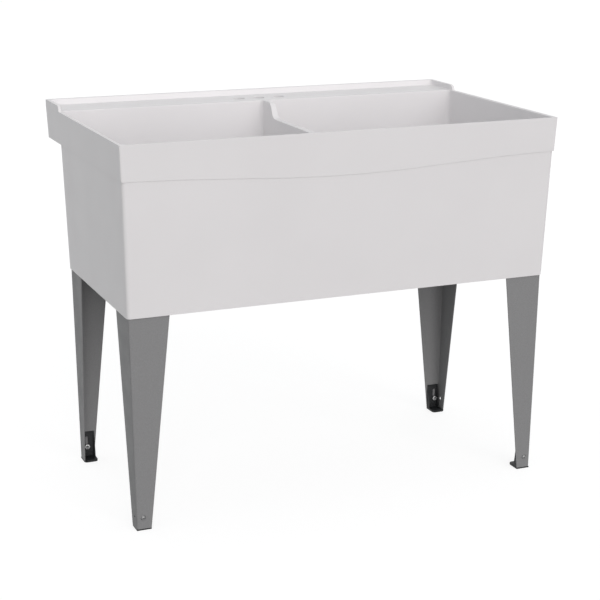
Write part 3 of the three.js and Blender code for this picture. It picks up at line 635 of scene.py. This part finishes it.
def stopper_solid():
    """A rubber plug: hollow foot, sealing rib and lip, waisted neck and a knob to pull."""
    foot = -DRAIN_SEAT_DEPTH + STOPPER_OFF_SEAT
    hollow = foot + STOPPER_HOLLOW_DEPTH
    foot_centre = (STOPPER_FOOT_R - STOPPER_FOOT_ROUND, foot + STOPPER_FOOT_ROUND)
    lip_centre = (STOPPER_LIP_R - STOPPER_LIP_ROUND, STOPPER_LIP_LOW + STOPPER_LIP_ROUND)
    neck_centre = (STOPPER_NECK_R + STOPPER_NECK_ROUND, STOPPER_SHOULDER[-1][1] + STOPPER_NECK_ROUND)
    knob_centre = (STOPPER_KNOB_R - STOPPER_KNOB_ROUND, STOPPER_KNOB_HEIGHT)
    return lathe([
        (0, hollow), (STOPPER_HOLLOW_R, hollow), (STOPPER_HOLLOW_R + STOPPER_HOLLOW_FLARE, foot),
        *arc(foot_centre, STOPPER_FOOT_ROUND, -90, -90 + STOPPER_FOOT_SWEEP, steps=3),
        *STOPPER_RIB,
        (STOPPER_THROAT_R, 0), (STOPPER_THROAT_R + STOPPER_LIP_FILLET, STOPPER_LIP_LOW),
        *arc(lip_centre, STOPPER_LIP_ROUND, -90, -90 + STOPPER_LIP_SWEEP, steps=6),
        *STOPPER_SHOULDER,
        *arc(neck_centre, STOPPER_NECK_ROUND, -90, -180, steps=8),
        *arc(knob_centre, STOPPER_KNOB_ROUND, -90, 90, steps=10),
        *STOPPER_CROWN], FINE_ROUND)


def make_drain(side, steel, rubber, fibre, plastic):
    """One bowl's drain, the rings that clamp it under the floor, and its stopper."""
    centre = middle_of(f"drain_body_{side}")
    centre.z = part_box(f"drain_body_{side}")[1].z

    def top_of(kind):
        return (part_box(f"{kind}_{side}")[1].z - centre.z) / MM

    gasket, washer, nut = top_of("drain_gasket"), top_of("drain_washer"), top_of("drain_locknut")
    gasket_ring = ring_solid(GASKET_R, gasket - GASKET_T, gasket, GASKET_EASE)
    washer_ring = ring_solid(WASHER_R, washer - WASHER_T, washer, WASHER_EASE)
    piece(f"flanged_strainer_{side}", placed(drain_solid(), centre), steel,
          "sink", f"drain_body_{side}")
    piece(f"rubber_gasket_{side}", placed(gasket_ring, centre), rubber,
          "sink", f"drain_gasket_{side}")
    piece(f"fibre_washer_{side}", placed(washer_ring, centre), fibre,
          "sink", f"drain_washer_{side}")
    locknut = piece(f"lugged_locknut_{side}", placed(locknut_solid(nut), centre), plastic,
                    "sink", f"drain_locknut_{side}")
    soften(locknut, LOCKNUT_EDGE, LOCKNUT_EDGE_STEPS)
    piece(f"rubber_stopper_{side}", placed(stopper_solid(), centre), rubber,
          f"plug_{side}", f"stopper_{side}")


# ---- Studio ----


def seen_directly(tree):
    """1 for camera, mirror and see-through rays, 0 for the rays that carry light to the object."""
    path = tree.nodes.new("ShaderNodeLightPath")
    total = path.outputs["Is Camera Ray"]
    for name in ("Is Glossy Ray", "Is Transmission Ray"):
        add = tree.nodes.new("ShaderNodeMath")
        add.operation = "MAXIMUM"
        tree.links.new(total, add.inputs[0])
        tree.links.new(path.outputs[name], add.inputs[1])
        total = add.outputs[0]
    return total


def make_sky():
    """A backdrop that shows white and lights the object by the sky's own strength."""
    world = bpy.data.worlds.new("studio")
    bpy.context.scene.world = world
    world.use_nodes = True
    tree = world.node_tree
    light = tree.nodes["Background"]
    light.inputs["Color"].default_value = (*SKY_TINT, 1)
    light.inputs["Strength"].default_value = SKY
    seen = tree.nodes.new("ShaderNodeBackground")
    seen.inputs["Color"].default_value = (1, 1, 1, 1)
    seen.inputs["Strength"].default_value = BACKDROP
    mix = tree.nodes.new("ShaderNodeMixShader")
    tree.links.new(seen_directly(tree), mix.inputs["Fac"])
    tree.links.new(light.outputs[0], mix.inputs[1])
    tree.links.new(seen.outputs[0], mix.inputs[2])
    tree.links.new(mix.outputs[0], tree.nodes["World Output"].inputs["Surface"])


def make_lamp():
    """The broad lamp in front, which reaches into the bowls."""
    data = bpy.data.lights.new("lamp", "SUN")
    data.energy = LAMP
    data.color = LAMP_TINT
    data.angle = LAMP_SPREAD
    lamp = bpy.data.objects.new("lamp", data)
    lamp.rotation_euler = LAMP_FROM.to_track_quat("Z", "Y").to_euler()
    bpy.context.scene.collection.objects.link(lamp)


def make_floor():
    """A floor that keeps the soft shadow and is otherwise as white as the backdrop."""
    bm = bmesh.new()
    bmesh.ops.create_grid(bm, x_segments=1, y_segments=1, size=FLOOR_SIZE)
    floor = as_object(bm, "floor")
    material = bpy.data.materials.new("floor")
    material.use_nodes = True
    tree = material.node_tree
    sockets = tree.nodes["Principled BSDF"].inputs
    sockets["Base Color"].default_value = (FLOOR_WHITE, FLOOR_WHITE, FLOOR_WHITE, 1)
    sockets["Roughness"].default_value = FLOOR_ROUGHNESS
    sockets["Emission Color"].default_value = (1, 1, 1, 1)
    glow = tree.nodes.new("ShaderNodeMath")
    glow.operation = "MULTIPLY"
    glow.inputs[1].default_value = FLOOR_GLOW
    tree.links.new(seen_directly(tree), glow.inputs[0])
    tree.links.new(glow.outputs[0], sockets["Emission Strength"])
    floor.data.materials.append(material)


def make_camera():
    """The photograph's camera: its target, distance, bearing, height angle and roll."""
    data = bpy.data.cameras.new("camera")
    data.lens = CAMERA_LENS
    data.clip_end = CAMERA_REACH
    camera = bpy.data.objects.new("camera", data)
    bpy.context.scene.collection.objects.link(camera)
    bpy.context.scene.camera = camera
    forward = Vector((
        -math.sin(CAMERA_AZIMUTH) * math.cos(CAMERA_ELEVATION),
        math.cos(CAMERA_AZIMUTH) * math.cos(CAMERA_ELEVATION),
        -math.sin(CAMERA_ELEVATION)))
    right = forward.cross(Vector((0, 0, 1))).normalized()
    up = right.cross(forward)
    level = Matrix.Rotation(CAMERA_ROLL, 3, forward).inverted()
    axes = Matrix((level @ right, level @ up, -forward)).transposed()
    camera.matrix_world = Matrix.Translation(CAMERA_TARGET - forward * CAMERA_DISTANCE) @ axes.to_4x4()


# ---- Scene ----

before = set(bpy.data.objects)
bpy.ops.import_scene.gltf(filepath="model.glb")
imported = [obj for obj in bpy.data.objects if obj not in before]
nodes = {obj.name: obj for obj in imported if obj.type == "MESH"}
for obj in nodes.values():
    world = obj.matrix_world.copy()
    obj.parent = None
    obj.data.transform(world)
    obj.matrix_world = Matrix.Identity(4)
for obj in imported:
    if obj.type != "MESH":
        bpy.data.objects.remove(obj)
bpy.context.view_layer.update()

white = tub_finish()
grey = leg_finish()
black = foot_finish()
bright_zinc = zinc_finish("bright_zinc_plate", dark=(0.36, 0.365, 0.38), light=(0.56, 0.56, 0.55))
# The bolt heads' zinc is the same plating darkened: painted shade that stands in for the dark surroundings
# their domes would reflect
zinc_with_painted_shade = zinc_finish("zinc_plate_with_painted_shade", dark=(0.16, 0.16, 0.165), light=(0.25, 0.25, 0.25))
drain_finishes = (steel_finish(), rubber_finish(), fibre_finish(), nut_finish())

carry_over(nodes["tub"], white, TUB_EDGE)
for corner in CORNERS:
    carry_over(nodes[f"leg_{corner}"], grey, LEG_EDGE)
    carry_over(nodes[f"foot_{corner}"], black, FOOT_EDGE)
for corner in CORNERS:
    make_fasteners(corner, zinc_with_painted_shade, bright_zinc)
for side in SIDES:
    make_drain(side, *drain_finishes)

make_sky()
make_lamp()
make_floor()
make_camera()
bpy.context.scene.view_settings.view_transform = "Standard"
